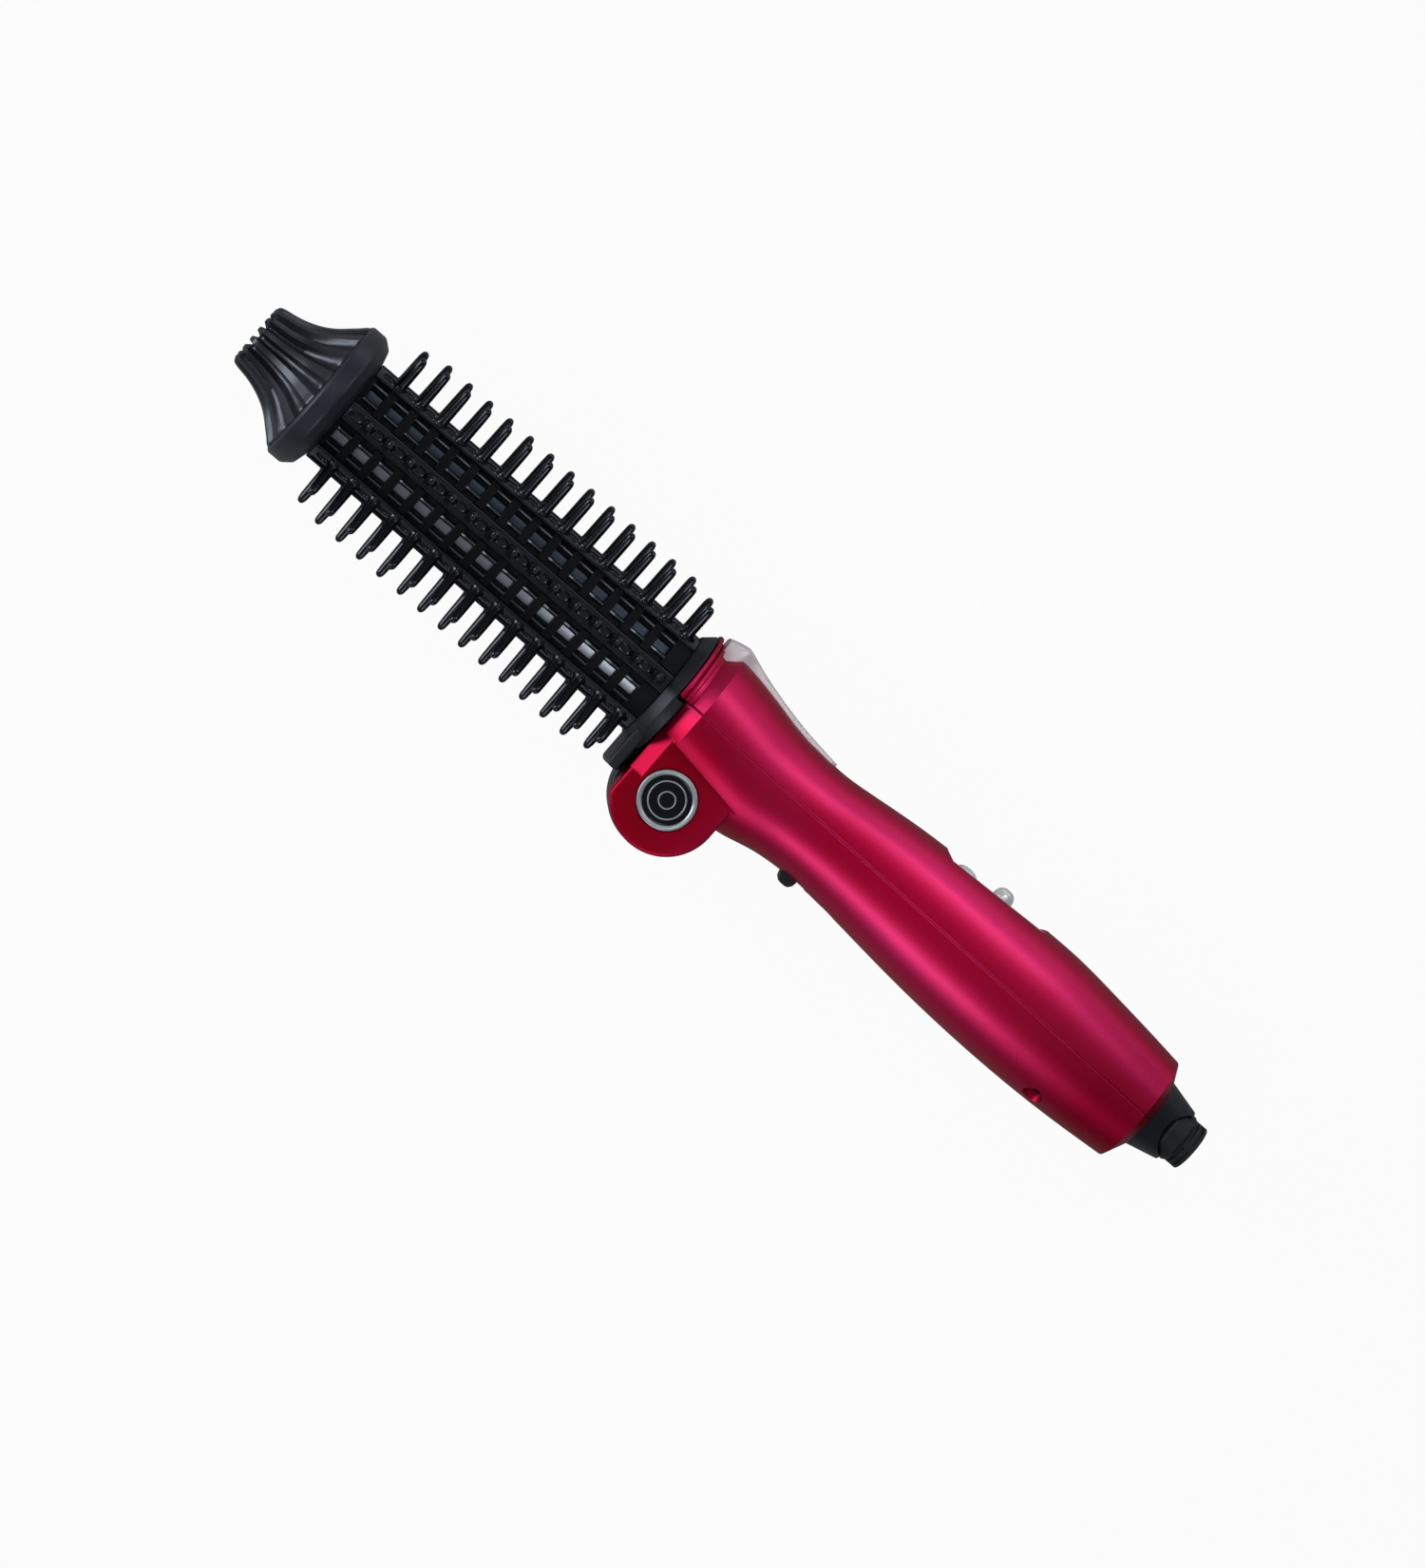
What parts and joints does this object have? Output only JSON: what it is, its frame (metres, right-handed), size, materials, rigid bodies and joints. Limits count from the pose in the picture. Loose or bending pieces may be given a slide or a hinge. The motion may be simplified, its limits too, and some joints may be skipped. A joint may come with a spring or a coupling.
{
  "type": "folding heated hair brush",
  "caption": "Round heated styling brush with a bristled barrel and fluted cool tip, folding on a side hinge against a split-shell handle with a button and a swivelling cord boot.",
  "frame": {"origin": "centre of the cord entry's outer mouth, at the end of the cord boot", "axes": "+X out of the cord entry, away from the barrel; +Y towards the button side of the handle; +Z along the hinge pin, from the knuckle towards the badge"},
  "size_m": [0.3101, 0.0606, 0.0506],
  "materials": {
    "shell": "magenta metallic lacquer",
    "trim": "satin silver plating",
    "black": "satin moulded black",
    "tip": "satin dark grey",
    "bristle": "gloss black nylon",
    "cage": "gloss black",
    "heated_metal": "bright drawn",
    "steel": "zinc plated",
    "badge_dark": "gloss black",
    "key": "silver grey",
    "lens": "milky clear",
    "ceramic": "fired ceramic",
    "film": "amber polyimide",
    "copper": "bare",
    "board": "solder mask",
    "wire": "silicone sleeve",
    "rubber": "satin rubber",
    "brass": "turned"
  },
  "bodies": {
    "handle": {"upper_shell": "shell", "lower_shell": "shell", "top_trim": "trim", "control_panel": "trim", "indicator_lens": "lens", "badge_ring": "trim", "badge_disc": "badge_dark", "hinge_pin": "steel", "hinge_washer": "steel", "hinge_clip": "steel", "mouth_plate": "black", "circuit_board": "board", "board_parts": "badge_dark", "power_switch": "badge_dark", "handle_leads": "wire", "mains_leads": "wire", "shell_screws": "steel", "release_spring": "steel", "cord_socket": "black"},
    "head": {"cool_tip": "tip", "tip_ring": "tip", "tip_screw": "steel", "core_plug": "black", "barrel_tube": "heated_metal", "cage_sleeve": "cage", "bristle_strip_1": "bristle", "bristle_strip_2": "bristle", "bristle_strip_3": "bristle", "bristle_strip_4": "bristle", "bristle_strip_5": "bristle", "bristle_strip_6": "bristle", "bristle_strip_7": "bristle", "ptc_tiles": "ceramic", "electrode_plates": "copper", "insulation_films": "film", "heat_spreader_upper": "heated_metal", "heat_spreader_lower": "heated_metal", "thermal_fuse": "steel", "thermistor": "ceramic", "head_leads": "wire", "head_carrier": "black", "hinge_bush": "brass", "knuckle_cap": "black"},
    "power_key": {"power_button": "key"},
    "release": {"release_slider": "black"},
    "cord_end": {"cord_boot": "rubber"}
  },
  "joints": [
    {"name": "head_fold", "type": "hinge", "parent": "handle", "child": "head", "pos_m": [-0.1588, -0.0194, 0], "axis": [0, 0, 1], "range_deg": [0, 170]},
    {"name": "power_press", "type": "slide", "parent": "handle", "child": "power_key", "axis": [0, -1, 0], "range_m": [0, 0.0012]},
    {"name": "release_slide", "type": "slide", "parent": "handle", "child": "release", "axis": [1, 0, 0], "range_m": [0, 0.003]},
    {"name": "cord_swivel", "type": "hinge", "parent": "handle", "child": "cord_end", "pos_m": [0, 0, 0], "axis": [1, 0, 0], "continuous": true}
  ]
}
